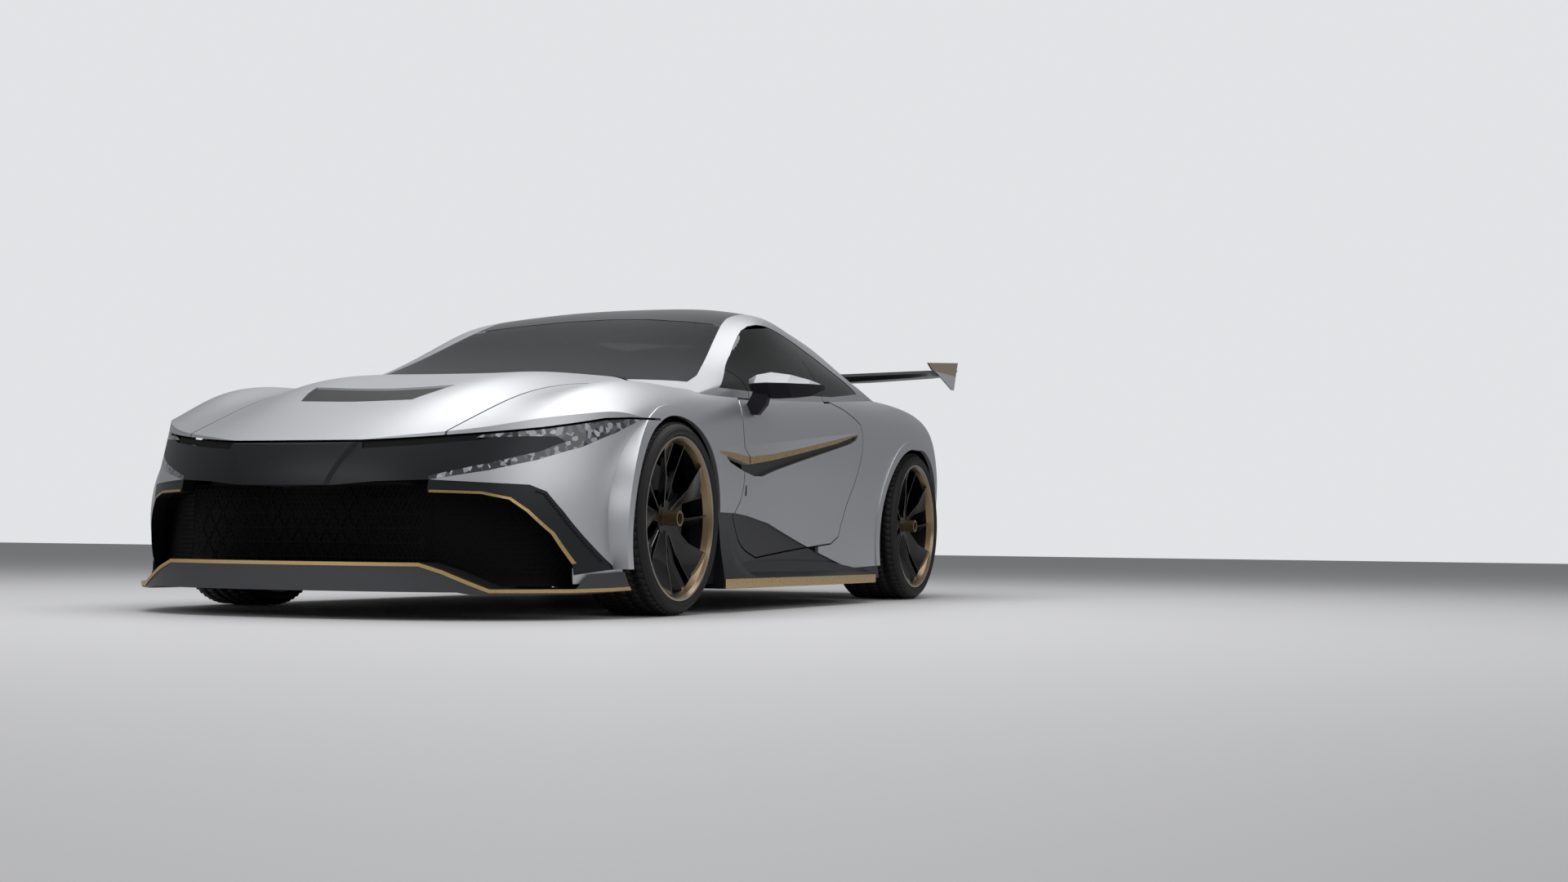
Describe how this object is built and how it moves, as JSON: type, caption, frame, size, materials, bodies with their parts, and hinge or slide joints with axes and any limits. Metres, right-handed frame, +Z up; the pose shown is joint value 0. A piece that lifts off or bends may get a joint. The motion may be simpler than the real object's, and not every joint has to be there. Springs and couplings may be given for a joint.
{
  "type": "hypercar",
  "caption": "Low two-door hypercar with opening doors, bonnet and boot lid, steered front wheels, deep nose intake, splitter and rear wing.",
  "frame": {"origin": "on the ground, on the car's centre line, halfway between the axles", "axes": "+Y towards the tail, +X towards the car's own left, +Z up"},
  "size_m": [2.384, 4.9142, 1.3322],
  "materials": {
    "floor": "carbon tub",
    "glass": "dark tinted glass",
    "gloss_black": "gloss black",
    "gold": "brushed pale gold",
    "graphite": "satin dark graphite",
    "iron": "plain casting",
    "lamp": "clear lamp glass",
    "leather": "dark leather",
    "satin_black": "satin black",
    "silver_paint": "satin silver paint",
    "steel": "plain steel",
    "tail_lamp": "red lamp glass",
    "tyre": "black rubber",
    "wheel": "black and bronze alloy"
  },
  "bodies": {
    "chassis": {"dashboard": "satin_black", "diffuser": "satin_black", "engine_block": "iron", "exhaust": "steel", "floor_tub": "floor", "front_bumper": "silver_paint", "front_fender_left": "silver_paint", "front_fender_right": "silver_paint", "front_splitter": "graphite", "gold_strips": "gold", "grille": "satin_black", "headlamps": "lamp", "intake_frame": "graphite", "nose_panel": "graphite", "quarter_lights": "glass", "rear_bumper": "silver_paint", "rear_hub_carriers": "steel", "rear_quarter_left": "silver_paint", "rear_quarter_right": "silver_paint", "rear_windows": "glass", "roof_panel": "gloss_black", "roof_rails": "silver_paint", "seats": "leather", "side_skirts": "graphite", "steering_wheel": "satin_black", "suspension_arms": "steel", "tail_lamps": "tail_lamp", "windscreen": "glass"},
    "bonnet": {"bonnet": "silver_paint", "bonnet_vent": "satin_black"},
    "boot_lid": {"boot_lid": "silver_paint", "rear_wing": "gloss_black"},
    "door_left": {"door_left": "silver_paint", "door_glass_left": "glass", "mirror_left": "gloss_black", "door_trim_left": "graphite", "door_vane_left": "gold"},
    "door_right": {"door_right": "silver_paint", "door_glass_right": "glass", "mirror_right": "gloss_black", "door_trim_right": "graphite", "door_vane_right": "gold"},
    "steer_left": {"knuckle_left": "steel"},
    "steer_right": {"knuckle_right": "steel"},
    "wheel_front_left": {"wheel_front_left": "wheel", "tyre_front_left": "tyre"},
    "wheel_front_right": {"wheel_front_right": "wheel", "tyre_front_right": "tyre"},
    "wheel_rear_left": {"wheel_rear_left": "wheel", "tyre_rear_left": "tyre"},
    "wheel_rear_right": {"wheel_rear_right": "wheel", "tyre_rear_right": "tyre"}
  },
  "joints": [
    {"name": "steering_left", "type": "hinge", "parent": "chassis", "child": "steer_left", "pos_m": [0.8, -1.415, 0.35], "axis": [0, 0, 1], "range_deg": [-30, 30]},
    {"name": "steering_right", "type": "hinge", "parent": "chassis", "child": "steer_right", "pos_m": [-0.8, -1.415, 0.35], "axis": [0, 0, 1], "range_deg": [-30, 30]},
    {"name": "wheel_front_left_spin", "type": "hinge", "parent": "steer_left", "child": "wheel_front_left", "pos_m": [0.85, -1.415, 0.35], "axis": [1, 0, 0], "continuous": true},
    {"name": "wheel_front_right_spin", "type": "hinge", "parent": "steer_right", "child": "wheel_front_right", "pos_m": [-0.85, -1.415, 0.35], "axis": [1, 0, 0], "continuous": true},
    {"name": "wheel_rear_left_spin", "type": "hinge", "parent": "chassis", "child": "wheel_rear_left", "pos_m": [0.8, 1.415, 0.355], "axis": [1, 0, 0], "continuous": true},
    {"name": "wheel_rear_right_spin", "type": "hinge", "parent": "chassis", "child": "wheel_rear_right", "pos_m": [-0.8, 1.415, 0.355], "axis": [1, 0, 0], "continuous": true},
    {"name": "door_left_hinge", "type": "hinge", "parent": "chassis", "child": "door_left", "pos_m": [0.928, -0.7, 0.58], "axis": [0, 0, -1], "range_deg": [0, 62]},
    {"name": "door_right_hinge", "type": "hinge", "parent": "chassis", "child": "door_right", "pos_m": [-0.928, -0.7, 0.58], "axis": [0, 0, 1], "range_deg": [0, 62]},
    {"name": "bonnet_hinge", "type": "hinge", "parent": "chassis", "child": "bonnet", "pos_m": [0, -0.898, 0.842], "axis": [-1, 0, 0], "range_deg": [0, 22]},
    {"name": "boot_lid_hinge", "type": "hinge", "parent": "chassis", "child": "boot_lid", "pos_m": [0, 1.76, 0.915], "axis": [1, 0, 0], "range_deg": [0, 45]}
  ],
  "couplings": [
    {"joint": "steering_right", "follows": "steering_left", "ratio": 1}
  ]
}
